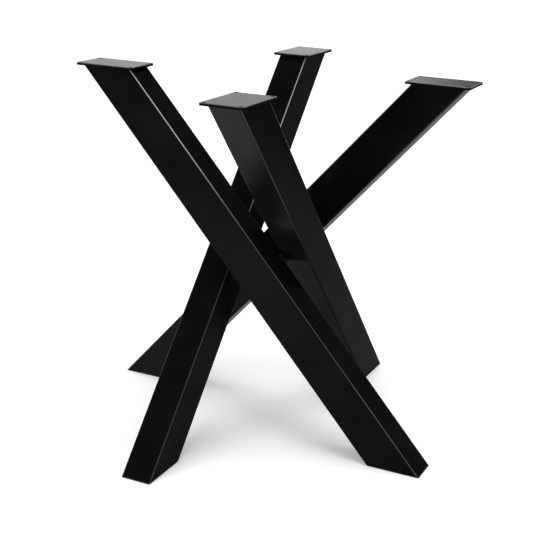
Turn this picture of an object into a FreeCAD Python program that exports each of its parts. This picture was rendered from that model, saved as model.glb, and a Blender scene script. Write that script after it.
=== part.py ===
import FreeCAD, Part
import math
import os

# Table base of four leaning rectangular tubes in a pinwheel, in millimetres.
# Z is up, and the origin is on the floor, on the four-fold axis of the base.
# Leg 1 runs from its top plate on the left to its foot on the right, in front of the axis.
# The other three legs are leg 1 turned about Z in quarter turns.

Vector = FreeCAD.Vector

# Overall
LEG_COUNT = 4
BASE_HEIGHT = 720.0
TOP_REACH = 310.0
FOOT_REACH = 325.0

# Rectangular tube, with its depth in the plane that the leg leans in
TUBE_DEPTH = 80.0
TUBE_WIDTH = 62.0
TUBE_WALL = 2.0
TUBE_CORNER_RADIUS = 3.0
LEAST_CORNER_RADIUS = 0.5

# Top plate with a screw hole at each corner
PLATE_THICKNESS = 5.0
PLATE_OVERHANG = 10.0
PLATE_CORNER_RADIUS = 3.0
PLATE_EDGE_BREAK = 1.0
SCREW_HOLE_DIAMETER = 7.0
SCREW_HOLE_INSET = 6.5
SCREW_HOLE_EDGE_BREAK = 0.5

# Welds
PLATE_WELD_LEG = 2.0
PLATE_WELD_TOE = 0.4
CROSSING_GAP = 0.5
CROSSING_WELD_RADIUS = 11.0

# End insert that closes the tube at the floor
FLANGE_THICKNESS = 2.0
FLANGE_EDGE_BREAK = 0.6
SLEEVE_HEIGHT = 24.0
SLEEVE_WALL = 2.5
SLEEVE_CLEARANCE = 0.6
FIN_COUNT = 3
FIN_THICKNESS = 1.2

# Heights and lean of the tube between its two level cuts
TUBE_BOTTOM = FLANGE_THICKNESS
TUBE_TOP = BASE_HEIGHT - PLATE_THICKNESS
LEAN_PER_HEIGHT = (TOP_REACH + FOOT_REACH) / (TUBE_TOP - TUBE_BOTTOM)
LEAN_STRETCH = math.sqrt(1.0 + LEAN_PER_HEIGHT ** 2)

# Length of the tube's level cut, along the lean
CUT_LENGTH = TUBE_DEPTH * LEAN_STRETCH

# Neighbouring tubes pass each other edge to edge, with their rounded edges one gap apart.
# The side offset puts leg 1 in front of the axis by half of both level cuts, less that rounding.
EDGE_NORMAL_STRETCH = math.sqrt(2.0 + LEAN_PER_HEIGHT ** 2)
ROUNDING_APPROACH = (
    TUBE_CORNER_RADIUS * (1.0 + LEAN_STRETCH)
    - (TUBE_CORNER_RADIUS + CROSSING_GAP / 2.0) * EDGE_NORMAL_STRETCH
)
SIDE_OFFSET = (CUT_LENGTH + TUBE_WIDTH) / 2.0 - ROUNDING_APPROACH

# Height at which the centre line of each leg passes the axis
CROSSING_HEIGHT = TUBE_BOTTOM + FOOT_REACH / LEAN_PER_HEIGHT


def centre_at(height):
    """Centre of leg 1's level section at a height."""
    return Vector(FOOT_REACH - (height - TUBE_BOTTOM) * LEAN_PER_HEIGHT, -SIDE_OFFSET, height)


def rounded_outline(length, width, radius):
    """Closed wire of a rounded rectangle about the origin, in the XY plane."""
    x = length / 2.0
    y = width / 2.0
    corners = [(1, 1, 0), (-1, 1, 90), (-1, -1, 180), (1, -1, 270)]
    arcs = []
    for sign_x, sign_y, first_angle in corners:
        middle = Vector(sign_x * (x - radius), sign_y * (y - radius), 0)
        circle = Part.Circle(middle, Vector(0, 0, 1), radius)
        arcs.append(Part.ArcOfCircle(circle, math.radians(first_angle), math.radians(first_angle + 90)))
    edges = []
    for arc, following in zip(arcs, arcs[1:] + arcs[:1]):
        edges.append(arc.toShape())
        edges.append(Part.LineSegment(arc.EndPoint, following.StartPoint).toShape())
    return Part.Wire(edges)


def leaning_bar(bottom, top, inset=0.0):
    """Solid bar along leg 1 between two level cuts, its faces set in from the tube's outside."""
    radius = max(TUBE_CORNER_RADIUS - inset, LEAST_CORNER_RADIUS)
    section = rounded_outline(TUBE_DEPTH - 2.0 * inset, TUBE_WIDTH - 2.0 * inset, radius)
    # The square section is drawn well below the cut and runs well past the upper one
    spare = CUT_LENGTH
    start = centre_at(bottom - spare)
    axis = centre_at(top + spare) - start
    tilt = -math.degrees(math.atan(LEAN_PER_HEIGHT))
    section.Placement = FreeCAD.Placement(start, FreeCAD.Rotation(Vector(0, 1, 0), tilt))
    bar = Part.Face(section).extrude(axis)
    reach = 2.0 * (TOP_REACH + FOOT_REACH + CUT_LENGTH + BASE_HEIGHT)
    slab = Part.makeBox(reach, reach, top - bottom, Vector(-reach / 2.0, -reach / 2.0, bottom))
    return bar.common(slab)


def level_outline(height, offset=0.0):
    """Outline of leg 1's level cut at a height, grown outwards by an offset."""
    outline = rounded_outline(
        CUT_LENGTH + 2.0 * offset,
        TUBE_WIDTH + 2.0 * offset,
        TUBE_CORNER_RADIUS + offset,
    )
    outline.translate(centre_at(height))
    return outline


def leg_tube():
    """Hollow tube, cut level where it meets the plate and the floor insert."""
    outside = leaning_bar(TUBE_BOTTOM, TUBE_TOP)
    bore = leaning_bar(TUBE_BOTTOM, TUBE_TOP, TUBE_WALL)
    return outside.cut(bore)


def screw_hole(x, y):
    """Space of a screw hole through the plate, its upper rim broken by a small chamfer."""
    radius = SCREW_HOLE_DIAMETER / 2.0
    bore = Part.makeCylinder(radius, PLATE_THICKNESS, Vector(x, y, 0))
    rim_bottom = Vector(x, y, PLATE_THICKNESS - SCREW_HOLE_EDGE_BREAK)
    rim = Part.makeCone(radius, radius + SCREW_HOLE_EDGE_BREAK, SCREW_HOLE_EDGE_BREAK, rim_bottom)
    return bore.fuse(rim)


def top_plate():
    """Flat plate that overhangs the tube all round, with a screw hole at each corner."""
    length = CUT_LENGTH + 2.0 * PLATE_OVERHANG
    width = TUBE_WIDTH + 2.0 * PLATE_OVERHANG
    outline = rounded_outline(length, width, PLATE_CORNER_RADIUS)
    plate = Part.Face(outline).extrude(Vector(0, 0, PLATE_THICKNESS))
    rim = [edge for edge in plate.Edges if edge.BoundBox.ZMin > PLATE_THICKNESS / 2.0]
    plate = plate.makeChamfer(PLATE_EDGE_BREAK, rim)
    for sign_x in (-1, 1):
        for sign_y in (-1, 1):
            x = sign_x * (length / 2.0 - SCREW_HOLE_INSET)
            y = sign_y * (width / 2.0 - SCREW_HOLE_INSET)
            plate = plate.cut(screw_hole(x, y))
    plate.translate(centre_at(TUBE_TOP))
    return plate


def plate_weld():
    """Fillet weld in the corner between the tube's four faces and the underside of the plate."""
    lower = level_outline(TUBE_TOP - PLATE_WELD_LEG, PLATE_WELD_TOE)
    upper = level_outline(TUBE_TOP, PLATE_WELD_LEG)
    bead = Part.makeLoft([lower, upper], True, True)
    return bead.cut(leaning_bar(TUBE_BOTTOM, TUBE_TOP))


def quarter_turn(shape, turns):
    """Copy of a leg 1 shape, turned about the axis of the base."""
    turned = shape.copy()
    turned.rotate(Vector(0, 0, 0), Vector(0, 0, 1), turns * 360.0 / LEG_COUNT)
    return turned


def crossing_weld():
    """Weld round the place where leg 1 passes the next leg, filling the grooves between them."""
    bar = leaning_bar(TUBE_BOTTOM, TUBE_TOP)
    half_cut = CUT_LENGTH / 2.0 - ROUNDING_APPROACH / 2.0
    blob = Part.makeSphere(CROSSING_WELD_RADIUS, Vector(half_cut, -half_cut, CROSSING_HEIGHT))
    return blob.cut(bar).cut(quarter_turn(bar, 1))


def foot_insert():
    """Moulded insert: a flange under the tube's end, a hollow sleeve up its bore and thin fins."""
    flange = leaning_bar(0.0, FLANGE_THICKNESS)
    rim = [edge for edge in flange.Edges if edge.BoundBox.ZMax < FLANGE_THICKNESS / 2.0]
    flange = flange.makeChamfer(FLANGE_EDGE_BREAK, rim)
    sleeve_inset = TUBE_WALL + SLEEVE_CLEARANCE
    sleeve_top = TUBE_BOTTOM + SLEEVE_HEIGHT
    sleeve = leaning_bar(TUBE_BOTTOM, sleeve_top, sleeve_inset)
    sleeve = sleeve.cut(leaning_bar(TUBE_BOTTOM, sleeve_top, sleeve_inset + SLEEVE_WALL))
    pieces = [sleeve]
    fin_pitch = SLEEVE_HEIGHT / (FIN_COUNT + 1)
    for index in range(FIN_COUNT):
        fin_bottom = TUBE_BOTTOM + (index + 1) * fin_pitch
        fin_top = fin_bottom + FIN_THICKNESS
        fin = leaning_bar(fin_bottom, fin_top, TUBE_WALL)
        pieces.append(fin.cut(leaning_bar(fin_bottom, fin_top, sleeve_inset)))
    return flange.multiFuse(pieces).removeSplitter()


def main():
    os.makedirs("parts", exist_ok=True)
    pieces = {
        "leg_tube": leg_tube(),
        "top_plate": top_plate(),
        "plate_weld": plate_weld(),
        "crossing_weld": crossing_weld(),
        "foot_insert": foot_insert(),
    }
    for name, shape in pieces.items():
        for turn in range(LEG_COUNT):
            quarter_turn(shape, turn).exportStep(f"parts/{name}_{turn + 1}.step")


main()
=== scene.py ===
import math

import bpy
from mathutils import Matrix, Vector


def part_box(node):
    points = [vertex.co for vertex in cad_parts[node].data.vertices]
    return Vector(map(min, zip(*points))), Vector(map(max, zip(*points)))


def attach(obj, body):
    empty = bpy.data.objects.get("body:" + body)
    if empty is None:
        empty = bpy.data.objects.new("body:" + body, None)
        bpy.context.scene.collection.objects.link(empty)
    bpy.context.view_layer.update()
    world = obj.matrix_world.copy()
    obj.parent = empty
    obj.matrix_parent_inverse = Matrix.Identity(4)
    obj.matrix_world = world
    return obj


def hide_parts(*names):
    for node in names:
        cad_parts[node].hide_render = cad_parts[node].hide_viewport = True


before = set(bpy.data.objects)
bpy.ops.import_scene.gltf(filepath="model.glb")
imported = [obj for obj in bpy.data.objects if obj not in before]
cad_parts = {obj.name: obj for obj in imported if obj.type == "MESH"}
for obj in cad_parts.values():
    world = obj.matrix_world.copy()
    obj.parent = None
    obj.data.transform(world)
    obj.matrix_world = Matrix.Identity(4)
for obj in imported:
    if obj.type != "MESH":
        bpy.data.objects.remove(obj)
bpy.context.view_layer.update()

LEG_COUNT = 4
QUARTER_TURN = math.pi / 2.0
X_AXIS = (1.0, 0.0, 0.0)
Y_AXIS = (0.0, 1.0, 0.0)
Z_AXIS = (0.0, 0.0, 1.0)
WHITE = (1.0, 1.0, 1.0, 1.0)

# Camera, fitted to the photograph: metres, degrees, and a focal length in pixels of a 550 pixel frame
IMAGE_SIZE = 550
SENSOR_WIDTH = 36.0
FOCAL_PIXELS = 1159.05
CAMERA_PLACE = (0.9657, -2.0097, 1.0546)
CAMERA_YAW = -25.388
CAMERA_PITCH = 18.477
CAMERA_ROLL = 1.725

# Floor just under the feet, in metres, with a glow that lifts it to white where it is seen
FLOOR_COLOR = (0.93, 0.93, 0.93, 1.0)
FLOOR_SIZE = 60.0
FLOOR_DROP = 0.0003
FLOOR_LIFT = 0.22

# World: strength where it is seen, and where it only lights
WORLD_SEEN = 1.0
WORLD_STRENGTH = 0.12

# Suns: the direction that each one shines from, its strength, and the angle it spans, in degrees.
# The first four light the edges, the plate tops and the floor round the shadows of the feet.
# The bounce lamps shine up through the floor, in place of the floor's mirror image in the legs.
SUNS = {
    "edge_light": ((0.70, -0.30, 0.64), 0.50, 25.0),
    "back_light": ((-0.55, 0.81, 0.22), 0.92, 34.0),
    "top_light": ((0.0, 0.0, 1.0), 1.75, 45.0),
    "front_light": ((-0.45, -0.83, 0.33), 0.90, 40.0),
    "bounce_under": ((-0.463, 0.090, -0.882), 1.40, 10.0),
    "bounce_front": ((-0.471, -0.803, -0.364), 1.40, 8.0),
    "bounce_side": ((0.367, 0.824, -0.432), 0.30, 10.0),
}

# Ring of weak suns that softens the shadows: strength by the angle round the object, in degrees
RING_SUNS = {20: 0.10, 165: 0.13, 205: 0.10, 245: 0.10, 285: 0.10, 330: 0.10}
RING_ELEVATION = 48.0
RING_SPAN = 40.0

# Weld rings under the plates: sizes in metres, and shares of the bead's own size.
# A wave is a count round the ring, and the angle that it starts at in radians.
RIPPLE_PITCH = 0.0024
RIPPLE_DEPTH = 0.24
RIPPLE_ROUNDNESS = 0.6
DRIFT_DEPTH = 0.04
DRIFT_WAVES = ((5, 0.7), (13, 2.1))
BEAD_BITE = 0.0003
BEAD_STEPS = 900
BEAD_FILL = 0.94
BEAD_SWELL = 0.16
BEAD_SECTION_STEPS = 5
CORNER_PER_BEAD = 1.5

# Beads at the crossings: steps round and from pole to pole, and shares of the bead's own radius.
# A wave is a count round the bead, the angle that it starts at, and its twist towards the poles.
CROSSING_STEPS = (132, 48)
CROSSING_SIZE = 0.97
CROSSING_FLATTENING = 0.93
CROSSING_POLE = 0.9
CROSSING_LOBES = 11
LOBE_DEPTH = 0.10
LOBE_TWIST = 1.5
UNEVEN_DEPTH = 0.015
UNEVEN_WAVES = ((3.0, 0.4, 0.0), (5.0, 2.0, 2.0))

# Colours of the finishes; the two edge colours are painted highlights on the tube edges and plate chamfers
COAT_BLACK = (0.0026, 0.0028, 0.0031, 1.0)
COAT_BLACK_LIGHTER = (0.0045, 0.0048, 0.0052, 1.0)
TUBE_EDGE_PAINTED_HIGHLIGHT = (0.3800, 0.3800, 0.3870, 1.0)
PLATE_EDGE_PAINTED_HIGHLIGHT = (0.0300, 0.0300, 0.0308, 1.0)
WELD_BLACK_LIGHTER = (0.0080, 0.0080, 0.0083, 1.0)
PLASTIC_BLACK = (0.0050, 0.0050, 0.0050, 1.0)
PLASTIC_BLACK_LIGHTER = (0.0090, 0.0090, 0.0088, 1.0)

# Gloss, which is low on the coat because its flats mirror a white floor and world
COAT_SPECULAR = 0.0035
WELD_SPECULAR = 0.03
PLASTIC_SPECULAR = 0.2
EDGE_GLOSS_ROUGHNESS = 0.15

# Noise patterns: scale and detail
COAT_CLOUD = (9.0, 3.0)
COAT_PEEL = (420.0, 2.0)
COAT_GRAIN = (1800.0, 1.0)
EDGE_PATCHES = (6.0, 1.0)
WELD_CLOUD = (160.0, 3.0)
WELD_LUMPS = (700.0, 2.0)
PLASTIC_CLOUD = (30.0, 2.0)
PLASTIC_TEXTURE = (1500.0, 3.0)

# Bumps: strength, and height in metres
PEEL_BUMP = (0.10, 0.0004)
GRAIN_BUMP = (0.06, 0.0002)
LUMP_BUMP = (0.25, 0.0004)
TEXTURE_BUMP = (0.2, 0.0003)

# Ramps: a value from the first number to the second becomes the third to the fourth
CLOUD_TO_COLOR = (0.35, 0.65, 0.0, 1.0)
COAT_ROUGHNESS = (0.3, 0.7, 0.25, 0.28)
WELD_ROUGHNESS = (0.3, 0.7, 0.25, 0.40)
PLASTIC_ROUGHNESS = (0.3, 0.7, 0.5, 0.65)
# Edge ramps shape the painted highlight and the glossier coat on tube edges: stronger where an edge faces
# up or stands high
EDGE_OFF_FLATS = (0.82, 0.97, 1.0, 0.0)
EDGE_GLOSS_AND_HIGHLIGHT_BY_RISE = (-0.35, 0.25, 0.12, 1.0)
EDGE_BY_PATCH = (0.38, 0.60, 0.7, 1.0)
EDGE_GLOSS_AND_HIGHLIGHT_BY_HEIGHT = (0.38, 0.60, 0.15, 1.0)
CHAMFER_STRAIGHT = (0.08, 0.20, 1.0, 0.0)
CHAMFER_OFF_SIDES = (0.35, 0.60, 0.0, 1.0)
CHAMFER_OFF_TOP = (0.80, 0.95, 1.0, 0.0)

# Colour sockets of a mix node, by number because their names repeat for other kinds of data
MIX_FACTOR = 0
MIX_FIRST_COLOR = 6
MIX_LAST_COLOR = 7
MIX_COLOR_RESULT = 2


def add_object(name, data):
    """New object in the scene."""
    added = bpy.data.objects.new(name, data)
    bpy.context.scene.collection.objects.link(added)
    return added


def corners(node):
    """Lowest and highest corner of a CAD node's box, in metres."""
    return [Vector(corner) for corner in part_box(node)]


class Nodes:
    """Short way to add linked shader nodes to a new material."""

    def __init__(self, name):
        self.material = bpy.data.materials.new(name)
        self.material.use_nodes = True
        self.tree = self.material.node_tree
        self.shader = self.tree.nodes["Principled BSDF"]

    def fill(self, socket, value):
        """Link a socket to another node's output, or give it a fixed value."""
        if isinstance(value, bpy.types.NodeSocket):
            self.tree.links.new(value, socket)
        else:
            socket.default_value = value

    def put(self, name, value):
        """Fill one of the shader's own sockets."""
        self.fill(self.shader.inputs[name], value)

    def place(self):
        return self.tree.nodes.new("ShaderNodeTexCoord").outputs["Object"]

    def normal(self):
        return self.tree.nodes.new("ShaderNodeNewGeometry").outputs["Normal"]

    def noise(self, scale, detail):
        node = self.tree.nodes.new("ShaderNodeTexNoise")
        self.fill(node.inputs["Vector"], self.place())
        self.fill(node.inputs["Scale"], scale)
        self.fill(node.inputs["Detail"], detail)
        return node.outputs["Fac"]

    def ramp(self, value, low, high, first, last):
        """Value from low to high becomes first to last."""
        node = self.tree.nodes.new("ShaderNodeMapRange")
        self.fill(node.inputs["Value"], value)
        self.fill(node.inputs["From Min"], low)
        self.fill(node.inputs["From Max"], high)
        self.fill(node.inputs["To Min"], first)
        self.fill(node.inputs["To Max"], last)
        return node.outputs["Result"]

    def mix_color(self, value, first, last):
        node = self.tree.nodes.new("ShaderNodeMix")
        node.data_type = "RGBA"
        self.fill(node.inputs[MIX_FACTOR], value)
        self.fill(node.inputs[MIX_FIRST_COLOR], first)
        self.fill(node.inputs[MIX_LAST_COLOR], last)
        return node.outputs[MIX_COLOR_RESULT]

    def math(self, operation, *values):
        node = self.tree.nodes.new("ShaderNodeMath")
        node.operation = operation
        for socket, value in zip(node.inputs, values):
            self.fill(socket, value)
        return node.outputs["Value"]

    def dot(self, first, direction):
        node = self.tree.nodes.new("ShaderNodeVectorMath")
        node.operation = "DOT_PRODUCT"
        self.fill(node.inputs[0], first)
        self.fill(node.inputs[1], direction)
        return node.outputs["Value"]

    def bump(self, height, strength, distance, normal=None):
        node = self.tree.nodes.new("ShaderNodeBump")
        self.fill(node.inputs["Height"], height)
        self.fill(node.inputs["Strength"], strength)
        self.fill(node.inputs["Distance"], distance)
        if normal is not None:
            self.fill(node.inputs["Normal"], normal)
        return node.outputs["Normal"]


def add_camera():
    """Camera at the photograph's place, built from yaw, pitch and roll."""
    yaw = math.radians(CAMERA_YAW)
    pitch = math.radians(CAMERA_PITCH)
    roll = math.radians(CAMERA_ROLL)
    level = Vector((math.sin(yaw), math.cos(yaw), 0.0))
    right = Vector((math.cos(yaw), -math.sin(yaw), 0.0))
    forward = level * math.cos(pitch) - Vector(Z_AXIS) * math.sin(pitch)
    up = level * math.sin(pitch) + Vector(Z_AXIS) * math.cos(pitch)
    rolled_right = right * math.cos(roll) + up * math.sin(roll)
    rolled_up = up * math.cos(roll) - right * math.sin(roll)
    data = bpy.data.cameras.new("camera")
    data.sensor_width = SENSOR_WIDTH
    data.lens = FOCAL_PIXELS * SENSOR_WIDTH / IMAGE_SIZE
    camera = add_object("camera", data)
    turn = Matrix((rolled_right, rolled_up, -forward)).transposed().to_4x4()
    camera.matrix_world = Matrix.Translation(CAMERA_PLACE) @ turn
    bpy.context.scene.camera = camera


def add_sun(name, direction, strength, span):
    """Soft sun that shines from a direction."""
    data = bpy.data.lights.new(name, "SUN")
    data.energy = strength
    data.angle = math.radians(span)
    lamp = add_object(name, data)
    lamp.rotation_euler = Vector(direction).to_track_quat("Z", "Y").to_euler()


def seen_by_view(tree):
    """One where the camera, a reflection or a transmission looks, nought where only light is gathered."""
    path = tree.nodes.new("ShaderNodeLightPath").outputs
    seen = path["Is Camera Ray"]
    for ray in ("Is Glossy Ray", "Is Transmission Ray"):
        either = tree.nodes.new("ShaderNodeMath")
        either.operation = "MAXIMUM"
        tree.links.new(seen, either.inputs[0])
        tree.links.new(path[ray], either.inputs[1])
        seen = either.outputs["Value"]
    return seen


def add_world():
    """World that looks white and lights dimly."""
    world = bpy.data.worlds.new("studio")
    world.use_nodes = True
    tree = world.node_tree
    background = tree.nodes["Background"]
    background.inputs["Color"].default_value = WHITE
    brightness = tree.nodes.new("ShaderNodeMapRange")
    brightness.inputs["To Min"].default_value = WORLD_STRENGTH
    brightness.inputs["To Max"].default_value = WORLD_SEEN
    tree.links.new(seen_by_view(tree), brightness.inputs["Value"])
    tree.links.new(brightness.outputs["Result"], background.inputs["Strength"])
    bpy.context.scene.world = world


def add_lights():
    """The named suns and the ring of weak ones."""
    for name, (direction, strength, span) in SUNS.items():
        add_sun(name, direction, strength, span)
    level = math.cos(math.radians(RING_ELEVATION))
    rise = math.sin(math.radians(RING_ELEVATION))
    for azimuth, strength in RING_SUNS.items():
        turn = math.radians(azimuth)
        direction = (level * math.cos(turn), level * math.sin(turn), rise)
        add_sun(f"ring_light_{azimuth}", direction, strength, RING_SPAN)


def add_floor():
    """Large pale floor that fills the view, lifted to white where the view or a reflection sees it."""
    half = FLOOR_SIZE / 2.0
    outline = [(-half, -half, 0.0), (half, -half, 0.0), (half, half, 0.0), (-half, half, 0.0)]
    mesh = bpy.data.meshes.new("floor")
    mesh.from_pydata(outline, [], [(0, 1, 2, 3)])
    floor = add_object("floor", mesh)
    floor.location.z = -FLOOR_DROP
    # It casts no shadow itself, so that the bounce lamps reach the legs through it
    floor.visible_shadow = False
    nodes = Nodes("pale_floor")
    nodes.put("Base Color", FLOOR_COLOR)
    nodes.put("Roughness", 1.0)
    nodes.put("Specular IOR Level", 0.0)
    nodes.put("Emission Color", WHITE)
    nodes.put("Emission Strength", nodes.ramp(seen_by_view(nodes.tree), 0.0, 1.0, 0.0, FLOOR_LIFT))
    mesh.materials.append(nodes.material)


def tube_edge_gloss_and_highlight(nodes, flat_normals):
    """Mask of the glossier coat and the painted highlight on rounded edges: one where they face up, less
    where they face down or sit low, nought on the flats.
    """
    normal = nodes.normal()
    nearest = None
    for direction in flat_normals:
        facing = nodes.math("ABSOLUTE", nodes.dot(normal, direction))
        nearest = facing if nearest is None else nodes.math("MAXIMUM", nearest, facing)
    edge_gloss_and_highlight = nodes.ramp(nearest, *EDGE_OFF_FLATS)
    shares = [
        nodes.ramp(nodes.dot(normal, Z_AXIS), *EDGE_GLOSS_AND_HIGHLIGHT_BY_RISE),
        nodes.ramp(nodes.noise(*EDGE_PATCHES), *EDGE_BY_PATCH),
        nodes.ramp(nodes.dot(nodes.place(), Z_AXIS), *EDGE_GLOSS_AND_HIGHLIGHT_BY_HEIGHT),
    ]
    for share in shares:
        edge_gloss_and_highlight = nodes.math("MULTIPLY", edge_gloss_and_highlight, share)
    return edge_gloss_and_highlight


def plate_edge_gloss_and_highlight(nodes):
    """Mask of the glossier coat and the painted highlight: one on the straight chamfers round the top of a
    plate and at spots on its hole rims, else nought.
    """
    normal = nodes.normal()
    along = nodes.math("ABSOLUTE", nodes.dot(normal, X_AXIS))
    across = nodes.math("ABSOLUTE", nodes.dot(normal, Y_AXIS))
    rise = nodes.dot(normal, Z_AXIS)
    edge_gloss_and_highlight = nodes.ramp(nodes.math("MINIMUM", along, across), *CHAMFER_STRAIGHT)
    edge_gloss_and_highlight = nodes.math("MULTIPLY", edge_gloss_and_highlight, nodes.ramp(rise, *CHAMFER_OFF_SIDES))
    return nodes.math("MULTIPLY", edge_gloss_and_highlight, nodes.ramp(rise, *CHAMFER_OFF_TOP))


def powder_coat(name, painted_highlight_color, flat_normals=None):
    """Black powder coat: orange peel, fine grain, and glossier edges with a painted highlight in their
    colour, on a tube if its flats are given.
    """
    nodes = Nodes(name)
    edge_gloss_and_highlight = tube_edge_gloss_and_highlight(nodes, flat_normals) if flat_normals else plate_edge_gloss_and_highlight(nodes)
    cloud = nodes.noise(*COAT_CLOUD)
    flat_color = nodes.mix_color(nodes.ramp(cloud, *CLOUD_TO_COLOR), COAT_BLACK, COAT_BLACK_LIGHTER)
    peel = nodes.bump(nodes.noise(*COAT_PEEL), *PEEL_BUMP)
    # The edge colour is a painted highlight, mixed over the black where the edge mask is
    nodes.put("Base Color", nodes.mix_color(edge_gloss_and_highlight, flat_color, painted_highlight_color))
    nodes.put("Roughness", nodes.ramp(cloud, *COAT_ROUGHNESS))
    nodes.put("Normal", nodes.bump(nodes.noise(*COAT_GRAIN), *GRAIN_BUMP, peel))
    nodes.put("Coat Weight", edge_gloss_and_highlight)
    nodes.put("Coat Roughness", EDGE_GLOSS_ROUGHNESS)
    nodes.put("Specular IOR Level", COAT_SPECULAR)
    return nodes.material


def coated_weld():
    """The same coat over a weld bead, a little rougher and more uneven."""
    nodes = Nodes("black_coated_weld")
    cloud = nodes.noise(*WELD_CLOUD)
    color = nodes.mix_color(nodes.ramp(cloud, *CLOUD_TO_COLOR), COAT_BLACK, WELD_BLACK_LIGHTER)
    nodes.put("Base Color", color)
    nodes.put("Roughness", nodes.ramp(cloud, *WELD_ROUGHNESS))
    nodes.put("Normal", nodes.bump(nodes.noise(*WELD_LUMPS), *LUMP_BUMP))
    nodes.put("Specular IOR Level", WELD_SPECULAR)
    return nodes.material


def moulded_plastic():
    """Black moulded plastic of the foot inserts, with a fine spark-eroded texture."""
    nodes = Nodes("black_moulded_plastic")
    cloud = nodes.noise(*PLASTIC_CLOUD)
    texture = nodes.noise(*PLASTIC_TEXTURE)
    color = nodes.mix_color(nodes.ramp(cloud, *CLOUD_TO_COLOR), PLASTIC_BLACK, PLASTIC_BLACK_LIGHTER)
    nodes.put("Base Color", color)
    nodes.put("Roughness", nodes.ramp(texture, *PLASTIC_ROUGHNESS))
    nodes.put("Normal", nodes.bump(texture, *TEXTURE_BUMP))
    nodes.put("Specular IOR Level", PLASTIC_SPECULAR)
    return nodes.material


def level_cut():
    """Length of leg 1's level cut: its plate's length, less the overhang that the plate's width shows."""
    tube_low, tube_high = corners("leg_tube_1")
    plate_low, plate_high = corners("top_plate_1")
    overhang = ((plate_high - plate_low).y - (tube_high - tube_low).y) / 2.0
    return (plate_high - plate_low).x - 2.0 * overhang


def lean_per_height():
    """Sideways run of leg 1 for each metre of height."""
    low, high = corners("leg_tube_1")
    return ((high - low).x - level_cut()) / (high - low).z


def outline_point(distance, half_length, half_width, radius):
    """Point and outward direction on a rounded rectangle, a distance along it from its right-hand side."""
    arc = QUARTER_TURN * radius
    across, along = half_length, half_width
    turns = 0
    while distance > 2.0 * (along - radius) + arc:
        distance -= 2.0 * (along - radius) + arc
        across, along = along, across
        turns += 1
    straight = 2.0 * (along - radius)
    if distance <= straight:
        point = Vector((across, distance - (along - radius)))
        outward = Vector((1.0, 0.0))
    else:
        angle = (distance - straight) / radius
        outward = Vector((math.cos(angle), math.sin(angle)))
        point = Vector((across - radius, along - radius)) + outward * radius
    turn = Matrix.Rotation(turns * QUARTER_TURN, 2)
    return turn @ point, turn @ outward


def ripple(distance, total):
    """Size of a bead at a distance along it: overlapping scallops, with a slow unevenness that closes."""
    count = round(total / RIPPLE_PITCH)
    phase = distance / total
    scallop = abs(math.sin(math.pi * count * phase)) ** RIPPLE_ROUNDNESS
    drift = sum(math.sin(2.0 * math.pi * waves * phase + start) for waves, start in DRIFT_WAVES)
    return 1.0 - RIPPLE_DEPTH * (1.0 - scallop) + DRIFT_DEPTH * drift


def bead_section(size):
    """Section of a fillet bead: how far each point is out from the tube and down from the plate."""
    section = [(-BEAD_BITE, 0.0)]
    for step in range(BEAD_SECTION_STEPS + 1):
        share = step / BEAD_SECTION_STEPS
        swell = BEAD_SWELL * size * math.sin(math.pi * share)
        section.append((size * (1.0 - share) - BEAD_BITE * share + swell, size * share + swell))
    return section


def add_bead(name, points, faces, finish, leg, node):
    """Bead built for leg 1, turned to its own leg, in place of a plain CAD weld."""
    mesh = bpy.data.meshes.new(name)
    mesh.from_pydata(points, [], faces)
    mesh.transform(Matrix.Rotation((leg - 1) * QUARTER_TURN, 4, "Z"))
    mesh.shade_smooth()
    mesh.materials.append(finish)
    bead = add_object(name, mesh)
    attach(bead, "root")
    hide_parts(node)


def weld_ring(leg, finish):
    """Rippled fillet bead round the top of a tube, under its plate."""
    low, high = corners("leg_tube_1")
    plate_low, plate_high = corners("top_plate_1")
    weld_low, weld_high = corners("plate_weld_1")
    lean = lean_per_height()
    centre = (plate_low + plate_high) / 2.0
    half_length = level_cut() / 2.0
    half_width = (high - low).y / 2.0
    bead = (weld_high - weld_low).y / 2.0 - half_width
    radius = CORNER_PER_BEAD * bead
    total = 4.0 * (half_length + half_width - 2.0 * radius) + 2.0 * math.pi * radius
    points = []
    for step in range(BEAD_STEPS):
        distance = total * step / BEAD_STEPS
        place, outward = outline_point(distance, half_length, half_width, radius)
        section = bead_section(bead * ripple(distance, total) * BEAD_FILL)
        for out, drop in section:
            flat = place + outward * out
            points.append((centre.x + flat.x + lean * drop, centre.y + flat.y, high.z - drop))
    count = len(section)
    faces = []
    for step in range(BEAD_STEPS):
        here = step * count
        after = (step + 1) % BEAD_STEPS * count
        for index in range(count):
            other = (index + 1) % count
            faces.append((here + index, after + index, after + other, here + other))
    add_bead(f"weld_ring_{leg}", points, faces, finish, leg, f"plate_weld_{leg}")


def crossing_size(turn, tilt):
    """Share of a crossing bead's radius in a direction: lobes round it, with a slow unevenness."""
    lobe = abs(math.sin(CROSSING_LOBES * turn / 2.0 + LOBE_TWIST * tilt)) ** RIPPLE_ROUNDNESS
    uneven = sum(math.sin(waves * turn + start + twist * tilt) for waves, start, twist in UNEVEN_WAVES)
    fade = math.cos(tilt)
    return CROSSING_SIZE - LOBE_DEPTH * (1.0 - lobe) * fade + UNEVEN_DEPTH * uneven * fade


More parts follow.
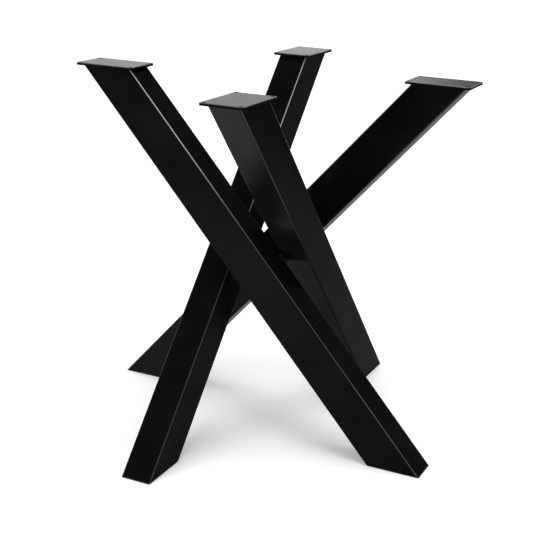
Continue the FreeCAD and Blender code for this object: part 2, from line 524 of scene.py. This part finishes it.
def crossing_bead(leg, finish):
    """Lobed bead laid round the point where a tube's edge meets the next tube's edge."""
    low, high = corners("crossing_weld_1")
    centre = (low + high) / 2.0
    radius = (high - low).x / 2.0
    lean = lean_per_height()
    first_edge = Vector((-lean, 0.0, 1.0)).normalized()
    next_edge = Vector((0.0, -lean, 1.0)).normalized()
    axis = first_edge.cross(next_edge).normalized()
    along = (first_edge + next_edge).normalized()
    across = axis.cross(along)
    round_steps, rise_steps = CROSSING_STEPS
    points = [centre - axis * radius * CROSSING_POLE]
    for rise in range(1, rise_steps):
        tilt = math.pi * (rise / rise_steps - 0.5)
        for step in range(round_steps):
            turn = 2.0 * math.pi * step / round_steps
            level = along * math.cos(turn) + across * math.sin(turn)
            outward = level * math.cos(tilt) + axis * math.sin(tilt) * CROSSING_FLATTENING
            points.append(centre + outward * (radius * crossing_size(turn, tilt)))
    points.append(centre + axis * radius * CROSSING_POLE)
    last = len(points) - 1
    top = last - round_steps
    faces = []
    for step in range(round_steps):
        after = (step + 1) % round_steps
        faces.append((0, 1 + after, 1 + step))
        for here in range(1, top, round_steps):
            above = here + round_steps
            faces.append((here + step, here + after, above + after, above + step))
        faces.append((top + step, top + after, last))
    add_bead(f"crossing_bead_{leg}", points, faces, finish, leg, f"crossing_weld_{leg}")


def dress_nodes():
    """Finish of every CAD node, and the rippled beads that stand in for the plain ones."""
    slope = Vector((1.0, 0.0, lean_per_height())).normalized()
    odd_flats = [Y_AXIS, Z_AXIS, (slope.x, 0.0, slope.z), (-slope.x, 0.0, slope.z)]
    even_flats = [X_AXIS, Z_AXIS, (0.0, slope.x, slope.z), (0.0, -slope.x, slope.z)]
    odd_coat = powder_coat("black_powder_coat_1", TUBE_EDGE_PAINTED_HIGHLIGHT, odd_flats)
    even_coat = powder_coat("black_powder_coat_2", TUBE_EDGE_PAINTED_HIGHLIGHT, even_flats)
    plate_coat = powder_coat("black_powder_coat_3", PLATE_EDGE_PAINTED_HIGHLIGHT)
    weld = coated_weld()
    plastic = moulded_plastic()
    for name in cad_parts:
        if name.startswith("foot_insert"):
            finish = plastic
        elif name.startswith("leg_tube"):
            finish = odd_coat if int(name[-1]) % 2 else even_coat
        elif name.startswith("top_plate"):
            finish = plate_coat
        else:
            finish = weld
        piece = bpy.data.objects[name]
        piece.data.materials.clear()
        piece.data.materials.append(finish)
    for leg in range(1, LEG_COUNT + 1):
        weld_ring(leg, weld)
        crossing_bead(leg, weld)


add_camera()
add_world()
add_lights()
add_floor()
dress_nodes()
bpy.context.scene.view_settings.view_transform = "Standard"
